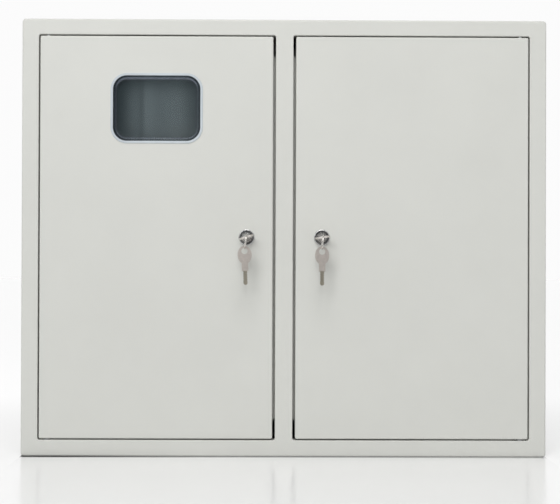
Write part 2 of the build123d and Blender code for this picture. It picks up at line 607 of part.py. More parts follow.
def lock_and_keys(side, key_tilt, ring_lean, spare_tilt):
    """Every piece of one lock with its inserted key, leaning ring and hanging spare key, by short name."""
    upright = at_lock(side)
    turned = at_lock(side, key_tilt)
    drop = ring_drop(key_tilt + ring_lean)
    pivot = Vector(side * LOCK_X, -CABINET_DEPTH - RING_PIVOT_OUT, LOCK_Z)
    ring_down = Vector(-sin(radians(ring_lean)), 0, -cos(radians(ring_lean)))
    spare_down = Vector(sin(radians(spare_tilt)), 0, -cos(radians(spare_tilt)))
    ring_middle = pivot + ring_down * drop
    spare_hole = ring_middle + ring_down * RING_RADIUS + spare_down * SPARE_KEY_HANG
    key_frame = Plane(origin=turned.from_local_coords((0, 0, INSERTED_HOLE_OUT)), x_dir=turned.x_dir,
                      z_dir=-turned.y_dir)
    spare_plane = Plane(origin=spare_hole, x_dir=at_lock(side, spare_tilt).x_dir, z_dir=(0, -1, 0))
    return {
        "lock_body": upright * lock_body(),
        "lock_nut": upright * lock_nut(),
        "lock_plug": turned * lock_plug(),
        "cam_washer": turned * cam_washer(),
        "lock_cam": turned * lock_cam(),
        "cam_screw": turned * cam_screw(),
        "key": key_frame * key(),
        "key_ring": Pos(ring_middle) * Rot(0, ring_lean, 0) * split_ring(),
        "spare_key": spare_plane * key(),
    }


def partition():
    """The sheet between the compartments, folded to a foot on the back panel, with two cable holes."""
    inner_half_height = HALF_HEIGHT - SHEET
    sheet = plate(rectangle(-SHEET / 2, SHEET / 2, -inner_half_height, inner_half_height), SHEET, BACK_FACE_DEPTH)
    sheet = chamfer(front_edges(sheet).filter_by(Axis.X), FRONT_BEND - SHEET)
    foot = plate(rectangle(SHEET / 2, PARTITION_FOOT, -inner_half_height, inner_half_height),
                 BACK_FACE_DEPTH - SHEET, BACK_FACE_DEPTH)
    sheet += foot
    for z in CABLE_HOLE_HEIGHTS:
        hole = Rot(0, 90, 0) * Cylinder(CABLE_HOLE_DIAMETER / 2, 2 * SHEET)
        sheet -= Pos(0, CABLE_HOLE_DEPTH_PLACE - CABINET_DEPTH, z) * hole
    return sheet


def grommets():
    """The rubber grommets in the partition's cable holes."""
    grommet = Cylinder(CABLE_HOLE_DIAMETER / 2, SHEET)
    for side in (-1, 1):
        offset = side * (SHEET + GROMMET_FLANGE_THICKNESS) / 2
        flange = Pos(0, 0, offset) * Cylinder(GROMMET_FLANGE_DIAMETER / 2, GROMMET_FLANGE_THICKNESS)
        outer_face = flange.faces().sort_by(Axis.Z)[-1 if side > 0 else 0]
        grommet += chamfer(outer_face.edges(), GROMMET_CHAMFER)
    grommet -= Cylinder(GROMMET_BORE_DIAMETER / 2, SHEET + 2 * GROMMET_FLANGE_THICKNESS)
    return [Pos(0, CABLE_HOLE_DEPTH_PLACE - CABINET_DEPTH, z) * Rot(0, 90, 0) * grommet for z in CABLE_HOLE_HEIGHTS]


def lengthwise_profile(points, x, z_from, z_to):
    """A folded section, drawn with x to the right and depth behind the front, made solid along Z."""
    placed = [(x + px, depth - CABINET_DEPTH) for px, depth in points]
    return extrude(Plane.XY.offset(z_from) * make_face(Polyline(*placed, close=True)), amount=z_to - z_from)


def meter_plate():
    """The folded plate for the meter, standing on two feet on the back panel, with its three slots."""
    half = METER_PLATE_WIDTH / 2
    face = BACK_FACE_DEPTH - METER_PLATE_STANDOFF
    foot = BACK_FACE_DEPTH
    left = [(-half, face), (half, face), (half, foot - SHEET), (half + METER_PLATE_FOOT, foot - SHEET),
            (half + METER_PLATE_FOOT, foot), (half - SHEET, foot), (half - SHEET, face + SHEET)]
    mirrored = [(-x, depth) for x, depth in reversed(left[1:])]
    plate_solid = lengthwise_profile(left[1:] + mirrored, -DOOR_MIDDLE_X, METER_PLATE_BOTTOM, METER_PLATE_TOP)
    low_slots_z = METER_PLATE_BOTTOM + METER_SLOT_BOTTOM_INSET
    slots = [(0, METER_PLATE_TOP - METER_SLOT_TOP_INSET), (-METER_SLOT_SPACING / 2, low_slots_z),
             (METER_SLOT_SPACING / 2, low_slots_z)]
    for x, z in slots:
        slot = Pos(x - DOOR_MIDDLE_X, z) * Rot(0, 0, 90) * SlotOverall(METER_SLOT_LENGTH, METER_SLOT_WIDTH)
        plate_solid -= plate(slot, face, face + SHEET)
    for x, z in meter_plate_screw_places():
        plate_solid -= disc(foot - SHEET, foot, x, z, PLATE_SCREW_DIAMETER + 2 * SCREW_CLEARANCE)
    return plate_solid


def meter_plate_screw_places():
    """Where the meter plate's feet are screwed to the back panel."""
    out = METER_PLATE_WIDTH / 2 + METER_PLATE_FOOT / 2
    heights = (METER_PLATE_BOTTOM + PLATE_SCREW_END_INSET, METER_PLATE_TOP - PLATE_SCREW_END_INSET)
    return [(side * out - DOOR_MIDDLE_X, z) for side in (-1, 1) for z in heights]


def meter_plate_screws():
    """The screws of the meter plate, which end flush with its feet's rear face."""
    head_front = BACK_FACE_DEPTH - SHEET - PLATE_SCREW_HEAD_HEIGHT
    return [headed_screw(head_front, x, z, PLATE_SCREW_HEAD_DIAMETER, PLATE_SCREW_HEAD_HEIGHT,
                         PLATE_SCREW_DIAMETER, SHEET) for x, z in meter_plate_screw_places()]


def rail_screw_places(rows, xs):
    """Each crossing of a rail and what carries it."""
    return [(x, z) for z in rows for x in xs]


def din_rail(x_middle, z, length, screw_xs):
    """A top-hat mounting rail with its crown against the carrier and its brims in front."""
    crown = UPRIGHT_FRONT_DEPTH
    brim = crown - RAIL_SECTION_DEPTH
    half_width = RAIL_WIDTH / 2
    half_crown = RAIL_CROWN_WIDTH / 2
    points = [(half_width, brim), (half_width, brim + RAIL_SHEET), (half_crown, brim + RAIL_SHEET),
              (half_crown, crown)]
    inner = [(half_crown - RAIL_SHEET, crown - RAIL_SHEET), (half_crown - RAIL_SHEET, brim)]
    section = points + [(-h, d) for h, d in reversed(points)]
    section += [(-h, d) for h, d in reversed(inner)] + inner
    plane = Plane(origin=(x_middle - length / 2, -CABINET_DEPTH, z), x_dir=(0, 1, 0), z_dir=(1, 0, 0))
    rail = extrude(plane * make_face(Polyline(*[(d, h) for h, d in section], close=True)), amount=length)
    for x in screw_xs:
        rail -= disc(crown - RAIL_SHEET, crown, x, z, RAIL_SCREW_DIAMETER + 2 * SCREW_CLEARANCE)
    return rail


def channel(x, z_from, z_to, hole_heights):
    """A folded channel that stands on the back panel with its web in front, drilled for rail screws."""
    half = UPRIGHT_WIDTH / 2
    web = UPRIGHT_FRONT_DEPTH
    points = [(-half, web), (half, web), (half, BACK_FACE_DEPTH), (half - SHEET, BACK_FACE_DEPTH),
              (half - SHEET, web + SHEET), (-half + SHEET, web + SHEET), (-half + SHEET, BACK_FACE_DEPTH),
              (-half, BACK_FACE_DEPTH)]
    solid = lengthwise_profile(points, x, z_from, z_to)
    for z in hole_heights:
        solid -= disc(web, web + SHEET, x, z, RAIL_SCREW_DIAMETER + 2 * SCREW_CLEARANCE)
    return solid


def rail_uprights():
    """The two channels that carry the four rails and the false panel's pillars."""
    return [channel(x, -UPRIGHT_HALF_HEIGHT, UPRIGHT_HALF_HEIGHT, RAIL_HEIGHTS) for x in RAIL_XS]


def breaker_bracket_xs():
    """Where the two brackets of the breaker rail stand."""
    out = BREAKER_RAIL_LENGTH / 2 - BREAKER_BRACKET_INSET
    return (-DOOR_MIDDLE_X - out, -DOOR_MIDDLE_X + out)


def breaker_brackets():
    """The two short channels under the breaker rail."""
    half = RAIL_WIDTH / 2
    return [channel(x, BREAKER_RAIL_Z - half, BREAKER_RAIL_Z + half, [BREAKER_RAIL_Z])
            for x in breaker_bracket_xs()]


def rail_screws(places):
    """The screws in the crowns of rails."""
    head_front = UPRIGHT_FRONT_DEPTH - RAIL_SHEET - RAIL_SCREW_HEAD_HEIGHT
    return [headed_screw(head_front, x, z, RAIL_SCREW_HEAD_DIAMETER, RAIL_SCREW_HEAD_HEIGHT,
                         RAIL_SCREW_DIAMETER, RAIL_SCREW_LENGTH) for x, z in places]


def pillar_places():
    """Where the false panel's pillars stand on the uprights."""
    height = FALSE_PANEL_HALF_HEIGHT - PILLAR_END_INSET
    return rail_screw_places((-height, height), RAIL_XS)


def false_panel():
    """The cover over the rails with a slot for each row of modules and flanges folded back all round."""
    x_from = DOOR_MIDDLE_X - FALSE_PANEL_WIDTH / 2
    x_to = DOOR_MIDDLE_X + FALSE_PANEL_WIDTH / 2
    half_height = FALSE_PANEL_HALF_HEIGHT
    front = FALSE_PANEL_DEPTH_PLACE
    outline = rectangle(x_from, x_to, -half_height, half_height)
    inside = rectangle(x_from + SHEET, x_to - SHEET, -half_height + SHEET, half_height - SHEET)
    panel = plate(outline, front, front + FALSE_PANEL_FLANGE)
    panel = fillet(front_edges(panel), OPENING_BEND)
    panel -= plate(inside, front + SHEET, front + FALSE_PANEL_FLANGE)
    for z in RAIL_HEIGHTS:
        slot = Pos(DOOR_MIDDLE_X, z) * Rectangle(MODULE_SLOT_WIDTH, MODULE_SLOT_HEIGHT)
        panel -= plate(slot, front, front + SHEET)
    for x, z in pillar_places():
        panel -= disc(front, front + SHEET, x, z, PANEL_SCREW_DIAMETER + 2 * SCREW_CLEARANCE)
    return panel


def pillars():
    """The hexagonal pillars between the uprights and the false panel, tapped at the front."""
    front = FALSE_PANEL_DEPTH_PLACE + SHEET
    made = []
    for x, z in pillar_places():
        pillar = hexagon(front, UPRIGHT_FRONT_DEPTH, x, z, PILLAR_ACROSS_FLATS)
        made.append(pillar - disc(front, front + PANEL_SCREW_LENGTH, x, z, PANEL_SCREW_DIAMETER))
    return made


def panel_screws():
    """The screws of the false panel."""
    head_front = FALSE_PANEL_DEPTH_PLACE - PANEL_SCREW_HEAD_HEIGHT
    return [headed_screw(head_front, x, z, PANEL_SCREW_HEAD_DIAMETER, PANEL_SCREW_HEAD_HEIGHT,
                         PANEL_SCREW_DIAMETER, PANEL_SCREW_LENGTH) for x, z in pillar_places()]


def terminal_bar(z, front):
    """A brass bar along X with a row of holes tapped for its screws."""
    solid = plate(rectangle(DOOR_MIDDLE_X - BAR_LENGTH / 2, DOOR_MIDDLE_X + BAR_LENGTH / 2, z - BAR_HEIGHT / 2,
                            z + BAR_HEIGHT / 2), front, front + BAR_THICKNESS)
    for x in bar_screw_xs():
        solid -= disc(front, front + BAR_SCREW_LENGTH, x, z, BAR_SCREW_DIAMETER)
    return solid


def bar_screw_xs():
    """Where the screws of a terminal bar stand."""
    pitch = BAR_LENGTH / (BAR_SCREWS + 1)
    return [DOOR_MIDDLE_X + pitch * (place - (BAR_SCREWS - 1) / 2) for place in range(BAR_SCREWS)]


def terminal_screws(z, front):
    """The screws of one terminal bar."""
    head_front = front - BAR_SCREW_HEAD_HEIGHT
    return [headed_screw(head_front, x, z, BAR_SCREW_HEAD_DIAMETER, BAR_SCREW_HEAD_HEIGHT, BAR_SCREW_DIAMETER,
                         BAR_SCREW_LENGTH) for x in bar_screw_xs()]


def bar_supports(z, depth, height):
    """The two blocks that stand on the back panel under a terminal bar."""
    made = []
    for side in (-1, 1):
        x = DOOR_MIDDLE_X + side * (BAR_LENGTH - INSULATOR_WIDTH) / 2
        block = plate(rectangle(x - INSULATOR_WIDTH / 2, x + INSULATOR_WIDTH / 2, z - height / 2, z + height / 2),
                      BACK_FACE_DEPTH - depth, BACK_FACE_DEPTH)
        made.append(chamfer(front_edges(block), SUPPORT_CHAMFER))
    return made


def stud(base_depth, x, z, length):
    """A welded earth stud that points at the viewer or away, from its base over its signed length."""
    tip_depth = base_depth + length
    return disc(min(base_depth, tip_depth), max(base_depth, tip_depth), x, z, EARTH_STUD_DIAMETER)


def stud_hardware(base_depth, x, z, way):
    """The washer and nut of one earth stud, way being 1 for towards the wall and -1 for towards the viewer."""
    washer_end = base_depth + way * EARTH_WASHER_THICKNESS
    nut_end = washer_end + way * EARTH_NUT_THICKNESS
    washer = disc(min(base_depth, washer_end), max(base_depth, washer_end), x, z, EARTH_WASHER_DIAMETER)
    nut = hexagon(min(washer_end, nut_end), max(washer_end, nut_end), x, z, EARTH_NUT_ACROSS_FLATS)
    return [piece - stud(base_depth, x, z, way * EARTH_STUD_LENGTH) for piece in (washer, nut)]


def door_stud_place(side):
    """Where a door's earth stud stands, low down on its hinge side."""
    return side * (DOOR_HINGE_EDGE_X - DOOR_STUD_INSET_X), DOOR_BOTTOM + DOOR_STUD_INSET_Z


def all_pieces():
    """Every node of the enclosure by name, each a solid or a list of solids."""
    bar_front = BACK_FACE_DEPTH - INSULATOR_DEPTH - BAR_THICKNESS
    earth_bar_front = BACK_FACE_DEPTH - EARTH_POST_DEPTH - BAR_THICKNESS
    breaker_xs = breaker_bracket_xs()
    pieces = {
        "body_shell": pin_holes_in_lips(body_shell()),
        "back_panel": back_panel(),
        "left_door": door(-1),
        "right_door": door(1),
        "left_door_bushes": door_bushes(-1),
        "right_door_bushes": door_bushes(1),
        "upper_hinge_pins": upper_hinge_pins(),
        "lower_hinge_pins": lower_hinge_pins(),
        "hinge_washers": hinge_washers(),
        "window_pane": window_pane(),
        "partition": partition(),
        "cable_grommets": grommets(),
        "meter_plate": meter_plate(),
        "meter_plate_screws": meter_plate_screws(),
        "breaker_rail": din_rail(-DOOR_MIDDLE_X, BREAKER_RAIL_Z, BREAKER_RAIL_LENGTH, breaker_xs),
        "breaker_rail_brackets": breaker_brackets(),
        "breaker_rail_screws": rail_screws(rail_screw_places([BREAKER_RAIL_Z], breaker_xs)),
        "rail_uprights": rail_uprights(),
        "rail_screws": rail_screws(rail_screw_places(RAIL_HEIGHTS, RAIL_XS)),
        "false_panel": false_panel(),
        "false_panel_pillars": pillars(),
        "false_panel_screws": panel_screws(),
        "neutral_bar": terminal_bar(BAR_Z, bar_front),
        "neutral_bar_screws": terminal_screws(BAR_Z, bar_front),
        "neutral_bar_insulators": bar_supports(BAR_Z, INSULATOR_DEPTH, INSULATOR_HEIGHT),
        "earth_bar": terminal_bar(-BAR_Z, earth_bar_front),
        "earth_bar_screws": terminal_screws(-BAR_Z, earth_bar_front),
        "earth_bar_feet": bar_supports(-BAR_Z, EARTH_POST_DEPTH, BAR_HEIGHT),
        "cabinet_earth_stud": stud(BACK_FACE_DEPTH, CABINET_STUD_X, CABINET_STUD_Z, -EARTH_STUD_LENGTH),
        "cabinet_earth_nut": stud_hardware(BACK_FACE_DEPTH, CABINET_STUD_X, CABINET_STUD_Z, -1),
    }
    for row, z in enumerate(reversed(RAIL_HEIGHTS)):
        pieces[f"din_rail_{row + 1}"] = din_rail(DOOR_MIDDLE_X, z, RAIL_LENGTH, RAIL_XS)
    locks = {
        "left": lock_and_keys(-1, LEFT_KEY_TILT, LEFT_RING_LEAN, LEFT_SPARE_TILT),
        "right": lock_and_keys(1, RIGHT_KEY_TILT, RIGHT_RING_LEAN, RIGHT_SPARE_TILT),
    }
    for name, side in (("left", -1), ("right", 1)):
        x, z = door_stud_place(side)
        pieces[f"{name}_door_earth_stud"] = stud(SHEET, x, z, DOOR_STUD_LENGTH)
        pieces[f"{name}_door_earth_nut"] = stud_hardware(SHEET, x, z, 1)
        for piece_name, solid in locks[name].items():
            pieces[f"{name}_{piece_name}"] = solid
    return pieces


def write_pieces():
    """Write each node as its own file."""
    os.makedirs("parts", exist_ok=True)
    for name, piece in all_pieces().items():
        solids = piece if isinstance(piece, list) else [piece]
        export_step(Compound(children=[s for solid in solids for s in solid.solids()]), f"parts/{name}.step")


write_pieces()
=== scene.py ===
"""Looks of the two-door metering enclosure: materials, fine threads, split rings, light and camera."""
import json
import math

import bpy
from mathutils import Matrix, Vector


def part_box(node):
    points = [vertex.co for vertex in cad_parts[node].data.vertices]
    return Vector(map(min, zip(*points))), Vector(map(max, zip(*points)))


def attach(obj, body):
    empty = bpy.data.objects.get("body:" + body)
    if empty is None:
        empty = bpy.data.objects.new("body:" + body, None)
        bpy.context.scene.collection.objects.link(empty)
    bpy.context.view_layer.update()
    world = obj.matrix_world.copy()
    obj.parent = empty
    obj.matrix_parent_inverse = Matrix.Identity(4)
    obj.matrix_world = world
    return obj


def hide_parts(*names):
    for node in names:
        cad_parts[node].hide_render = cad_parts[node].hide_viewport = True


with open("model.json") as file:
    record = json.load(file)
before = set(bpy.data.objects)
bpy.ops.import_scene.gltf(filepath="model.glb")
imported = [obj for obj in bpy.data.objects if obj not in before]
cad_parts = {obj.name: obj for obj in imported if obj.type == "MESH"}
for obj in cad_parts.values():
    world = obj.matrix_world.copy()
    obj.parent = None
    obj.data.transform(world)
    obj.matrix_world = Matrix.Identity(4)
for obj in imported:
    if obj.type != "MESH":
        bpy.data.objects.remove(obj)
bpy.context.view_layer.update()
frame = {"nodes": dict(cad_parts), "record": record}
scene = bpy.context.scene
nodes = frame["nodes"]

# Camera, in metres, and the sides of the cabinet's front in the photograph, in pixels
PICTURE_WIDTH = 560
PICTURE_HEIGHT = 504
SENSOR = 0.036
LENS = 0.085
CABINET_LEFT_PX = 22.4
CABINET_RIGHT_PX = 545.9
CABINET_TOP_PX = 18.7
CABINET_BOTTOM_PX = 457.2
CAMERA_ROLL = math.radians(0.2)
CAMERA_YAW = math.radians(-0.5)
CAMERA_PITCH = math.radians(0.4)

# Light: what the sky sheds and what is seen of it, and the lamps
SKY_STRENGTH = 0.39
SKY_SEEN = 0.97
LIGHTS = (
    {"name": "key_light", "place": (-3.2, -8.6, 3.4), "size": 3.2, "power": 222.0, "mirrored": True},
    {"name": "top_light", "place": (-0.05, -1.35, 1.95), "size": 1.0, "power": 18.0, "mirrored": True},
    {"name": "front_light", "place": (0.0, -2.9, 0.9), "size": 0.5, "power": 9.5, "mirrored": False},
)
WHITE = (1.0, 1.0, 1.0, 1.0)

# Floor: its glow grows from near to far, and a painted shadow darkens it close to the cabinet's foot
FLOOR_SPAN = 30.0
FLOOR_TONE = 0.83
FLOOR_ROUGHNESS = 0.2
FLOOR_GLOW = (0.13, 0.235)
FLOOR_GLOW_FADE = (-0.17, 0.5)
# Painted contact shadow at the cabinet's foot and painted soft shade nearer its front: reaches in metres,
# depths, and the span across over which the foot's shadow weakens
CONTACT_SHADOW_REACH = 0.011
CONTACT_SHADOW_DEPTHS = (1.0, 0.47)
CONTACT_SHADOW_FADE = (-0.25, -0.09)
NEAR_REACH = 0.12
NEAR_DEPTH = 0.07

# Dark card that the gloss mirrors, with soft stripes of light: places in metres across and up, and how light
DARK_CARD_PLACE = -3.2
DARK_CARD_SPAN = (3.0, 1.6)
DARK_CARD_TONE = (0.05, 0.05, 0.055, 1.0)
STRIPE_COLOUR = (0.80, 0.96, 1.0, 1.0)
STRIPE_GLOW = 4.6
WINDOW_STRIPES = (
    (-0.552, 0.05),
    (-0.522, 0.15),
    (-0.486, 0.6),
    (-0.468, 0.7),
    (-0.460, 0.3),
    (-0.448, 0.9),
    (-0.426, 1.0),
    (-0.402, 0.75),
    (-0.372, 0.85),
    (-0.327, 0.9),
    (-0.291, 0.5),
    (-0.252, 0.15),
    (-0.235, 0.0),
)
STRIPE_HEIGHTS = (
    (0.30, 0.0),
    (0.38, 0.55),
    (0.45, 1.0),
    (0.53, 1.0),
    (0.60, 0.35),
    (0.68, 0.0),
)

# Places of the cabinet, from the frame
shell_low, shell_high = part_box("body_shell")
FRONT_Y = shell_low.y
FLOOR_Z = shell_low.z

# Window: its lip covers the edge of the hole on the outside
LIP_WIDTH = 0.0027
WINDOW_CORNER = 0.016
WINDOW_ZONE = 0.006
# Painted shade: the pane and its wall are tinted near black for the unlit interior; the step's light band is
# a painted highlight
PANE_SHADE_COLOUR = (0.030, 0.045, 0.052)
WALL_SHADE_COLOUR = (0.018, 0.026, 0.034)
STEP_HIGHLIGHT_COLOUR = (0.34, 0.38, 0.47)
LIP_COLOUR = (0.72, 0.78, 0.83)
# Distance outside the hole's edge, colour there and how dense the plastic looks; over the hole these paint
# shade, and on the step a highlight
WINDOW_STEPS = (
    (-0.0044, PANE_SHADE_COLOUR, 0.42),
    (-0.0038, STEP_HIGHLIGHT_COLOUR, 0.36),
    (-0.0028, STEP_HIGHLIGHT_COLOUR, 0.36),
    (-0.0023, WALL_SHADE_COLOUR, 0.6),
    (-0.0002, WALL_SHADE_COLOUR, 0.6),
    (0.0001, LIP_COLOUR, 0.75),
)
# Share of the hole's height, and how much of the step's painted highlight shows there
STEP_HIGHLIGHT_SHARES = ((0.0, 0.5), (0.10, 0.5), (0.2, 0.2), (0.8, 0.2), (0.92, 1.0), (1.0, 1.0))
window_low, window_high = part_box("window_pane")
WINDOW_WIDTH = window_high.x - window_low.x - 2 * LIP_WIDTH
WINDOW_HEIGHT = window_high.z - window_low.z - 2 * LIP_WIDTH
WINDOW_CENTRE = ((window_low.x + window_high.x) / 2, (window_low.z + window_high.z) / 2)

# Locks and keys
HEAD_EDGE = 0.0016
BLADE_LENGTH = 0.0157
BLADE_BLUR = 0.0006
BLADE_TONE = (0.36, 0.33, 0.27)

# Split rings: a coil of wire that steps over to its second turn, with thinned ends
RING_WIRE_RADIUS = 0.00043
RING_TURNS = 2
RING_START = math.radians(215)
RING_STEP_FROM = 0.42
RING_STEP_SHARE = 0.16
RING_TIP_THICKNESS = 0.55
RING_TAPER_SHARE = 0.08
RING_STEPS = 144
RING_AROUND = 12

# Fine threads
BARREL_RADIUS = 0.0078
BARREL_FLATS = 0.0136
BARREL_PITCH = 0.001
BARREL_THREAD_HEIGHT = 0.0004
STUD_PITCH = 0.001
STUD_THREAD_HEIGHT = 0.0003
THREAD_SINK = 0.0001
THREAD_END_GAP = 0.0001
THREAD_AROUND = 40
THREAD_RINGS_PER_PITCH = 6


def socket(shader, name, value):
    """Set one input of a shader or node."""
    shader.inputs[name].default_value = value


def new_material(name):
    """A material with no nodes but its shader and output."""
    mat = bpy.data.materials.new(name)
    mat.use_nodes = True
    tree = mat.node_tree
    shader = tree.nodes["Principled BSDF"]
    return mat, tree, shader


def place_coordinates(tree, scale=(1.0, 1.0, 1.0)):
    """The point of the surface in the object's own metres, stretched by scale."""
    coordinates = tree.nodes.new("ShaderNodeTexCoord")
    mapping = tree.nodes.new("ShaderNodeMapping")
    socket(mapping, "Scale", scale)
    tree.links.new(coordinates.outputs["Object"], mapping.inputs["Vector"])
    return mapping.outputs["Vector"]


def place_parts(tree):
    """The X, Y and Z of the surface's point, in the object's own metres."""
    coordinates = tree.nodes.new("ShaderNodeTexCoord")
    parts = tree.nodes.new("ShaderNodeSeparateXYZ")
    tree.links.new(coordinates.outputs["Object"], parts.inputs["Vector"])
    return parts.outputs


def noise(tree, vector, scale=1.0, detail=2.0, roughness=0.5):
    """A noise texture's factor."""
    texture = tree.nodes.new("ShaderNodeTexNoise")
    socket(texture, "Scale", scale)
    socket(texture, "Detail", detail)
    socket(texture, "Roughness", roughness)
    tree.links.new(vector, texture.inputs["Vector"])
    return texture.outputs["Fac"]


def ramp(tree, factor, stops):
    """A colour ramp with the given places and colours."""
    node = tree.nodes.new("ShaderNodeValToRGB")
    elements = node.color_ramp.elements
    while len(elements) < len(stops):
        elements.new(0.5)
    for element, (place, colour) in zip(elements, stops):
        element.position = place
        element.color = (*colour, 1.0)
    tree.links.new(factor, node.inputs["Fac"])
    return node.outputs["Color"]


def grey_ramp(tree, factor, stops):
    """A ramp from places to plain numbers."""
    return ramp(tree, factor, [(place, (number, number, number)) for place, number in stops])


def spread(tree, value, to_low, to_high, from_range=(0.0, 1.0), smooth=False):
    """A value mapped from its range, 0 to 1 if none is given, to the range between two others."""
    node = tree.nodes.new("ShaderNodeMapRange")
    if smooth:
        node.interpolation_type = "SMOOTHSTEP"
    socket(node, "From Min", from_range[0])
    socket(node, "From Max", from_range[1])
    socket(node, "To Min", to_low)
    socket(node, "To Max", to_high)
    tree.links.new(value, node.inputs["Value"])
    return node.outputs["Result"]


def mix_colours(tree, factor, first, second):
    """The first colour where the factor is 0, and the second where it is 1."""
    node = tree.nodes.new("ShaderNodeMix")
    node.data_type = "RGBA"
    tree.links.new(factor, node.inputs["Factor"])
    tree.links.new(first, node.inputs["A"])
    tree.links.new(second, node.inputs["B"])
    return node.outputs["Result"]


def bump(tree, shader, height, distance, strength=1.0):
    """Let a height push the surface's normal."""
    node = tree.nodes.new("ShaderNodeBump")
    socket(node, "Strength", strength)
    socket(node, "Distance", distance)
    tree.links.new(height, node.inputs["Height"])
    tree.links.new(node.outputs["Normal"], shader.inputs["Normal"])


def reckon(tree, operation, first, second=0.0):
    """One step of arithmetic on numbers or on the outputs of other nodes."""
    node = tree.nodes.new("ShaderNodeMath")
    node.operation = operation
    for place, value in enumerate((first, second)):
        if isinstance(value, (int, float)):
            node.inputs[place].default_value = value
        else:
            tree.links.new(value, node.inputs[place])
    return node.outputs["Value"]


def distance_from_hole(tree, parts):
    """How far a point lies outside the window's hole in the plane of the front, less than 0 inside it."""
    squares = []
    for part, middle, half in ((parts["X"], WINDOW_CENTRE[0], WINDOW_WIDTH / 2),
                               (parts["Z"], WINDOW_CENTRE[1], WINDOW_HEIGHT / 2)):
        away = reckon(tree, "ABSOLUTE", reckon(tree, "SUBTRACT", part, middle))
        beyond = reckon(tree, "MAXIMUM", reckon(tree, "SUBTRACT", away, half - WINDOW_CORNER), 0.0)
        squares.append(reckon(tree, "MULTIPLY", beyond, beyond))
    total = reckon(tree, "SQRT", reckon(tree, "ADD", squares[0], squares[1]))
    return reckon(tree, "SUBTRACT", total, WINDOW_CORNER)


def mottled(tree, factor, tone, low_share, high_share=1.0, start=0.3):
    """A tone that a noise makes darker and lighter by the given shares, over the noise's middle range."""
    low = tuple(c * low_share for c in tone)
    high = tuple(min(c * high_share, 1.0) for c in tone)
    return ramp(tree, factor, [(start, low), (1 - start, high)])


def powder_paint(name, tone, roughness=0.42):
    """Light grey powder coat: a faint mottle, and the orange peel of the cured powder."""
    mottle_scale = 9.0
    peel_scale = 620.0
    peel_height = 0.00006
    gloss_change = 0.05
    mat, tree, shader = new_material(name)
    vector = place_coordinates(tree)
    mottle = noise(tree, vector, mottle_scale, detail=4.0, roughness=0.6)
    tree.links.new(mottled(tree, mottle, tone, 0.985, 1.012, start=0.35), shader.inputs["Base Color"])
    peel = noise(tree, vector, peel_scale, roughness=0.55)
    tree.links.new(spread(tree, peel, roughness - gloss_change, roughness + gloss_change),
                   shader.inputs["Roughness"])
    bump(tree, shader, peel, peel_height, strength=0.5)
    socket(shader, "Specular IOR Level", 0.45)
    return mat


def plated_steel(name, tone, roughness, spangle=0.06):
    """Zinc-plated steel or bare brass: drawn scratches and a soft spangle."""
    patch_scale = 60.0
    drawn_scales = (25.0, 900.0, 900.0)
    scratch_height = 0.00002
    gloss_changes = (-0.07, 0.09)
    mat, tree, shader = new_material(name)
    socket(shader, "Metallic", 1.0)
    patch = noise(tree, place_coordinates(tree), patch_scale, detail=3.0, roughness=0.6)
    tree.links.new(mottled(tree, patch, tone, 1 - spangle, 1 + spangle), shader.inputs["Base Color"])
    drawn = noise(tree, place_coordinates(tree, drawn_scales), roughness=0.6)
    rough_low, rough_high = (roughness + gloss_change for gloss_change in gloss_changes)
    tree.links.new(spread(tree, drawn, rough_low, rough_high), shader.inputs["Roughness"])
    bump(tree, shader, drawn, scratch_height, strength=0.4)
    return mat


def chrome_base(name, roughness):
    """Bright plated die-cast metal with a trace of casting waviness, still without its tone."""
    wave_scale = 420.0
    wave_height = 0.00004
    rough_shares = (0.7, 1.5)
    mat, tree, shader = new_material(name)
    socket(shader, "Metallic", 1.0)
    wave = noise(tree, place_coordinates(tree), wave_scale)
    rough_low, rough_high = (roughness * share for share in rough_shares)
    tree.links.new(spread(tree, wave, rough_low, rough_high), shader.inputs["Roughness"])
    bump(tree, shader, wave, wave_height, strength=0.35)
    return mat, tree, shader


def chrome(name, tone, roughness):
    """Bright plated metal of one slightly clouded tone."""
    tint_scale = 240.0
    mat, tree, shader = chrome_base(name, roughness)
    tint = noise(tree, place_coordinates(tree), tint_scale, detail=3.0, roughness=0.6)
    tree.links.new(mottled(tree, tint, tone, 0.9, start=0.35), shader.inputs["Base Color"])
    return mat


def lock_head_chrome(side_name, tone, dark_reflection_tone, roughness):
    """Chrome of a lock body: the flat face round the plug is painted darker than the edge, a painted dark
    reflection.
    """
    mat, tree, shader = chrome_base(f"{side_name}_lock_head_chrome", roughness)
    low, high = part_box(f"{side_name}_lock_body")
    middle = (low + high) / 2
    radius = (high.x - low.x) / 2
    parts = place_parts(tree)
    across = reckon(tree, "SUBTRACT", parts["X"], middle.x)
    up = reckon(tree, "SUBTRACT", parts["Z"], middle.z)
    square = reckon(tree, "ADD", reckon(tree, "MULTIPLY", across, across), reckon(tree, "MULTIPLY", up, up))
    # Painted dark reflection on the flat face, fading to the plain tone at the edge
    edge_places = (radius - HEAD_EDGE, radius - HEAD_EDGE / 2)
    rim_share = spread(tree, reckon(tree, "SQRT", square), 0.0, 1.0, edge_places)
    colour = ramp(tree, rim_share, [(0.0, dark_reflection_tone), (1.0, tone)])
    tree.links.new(colour, shader.inputs["Base Color"])
    return mat


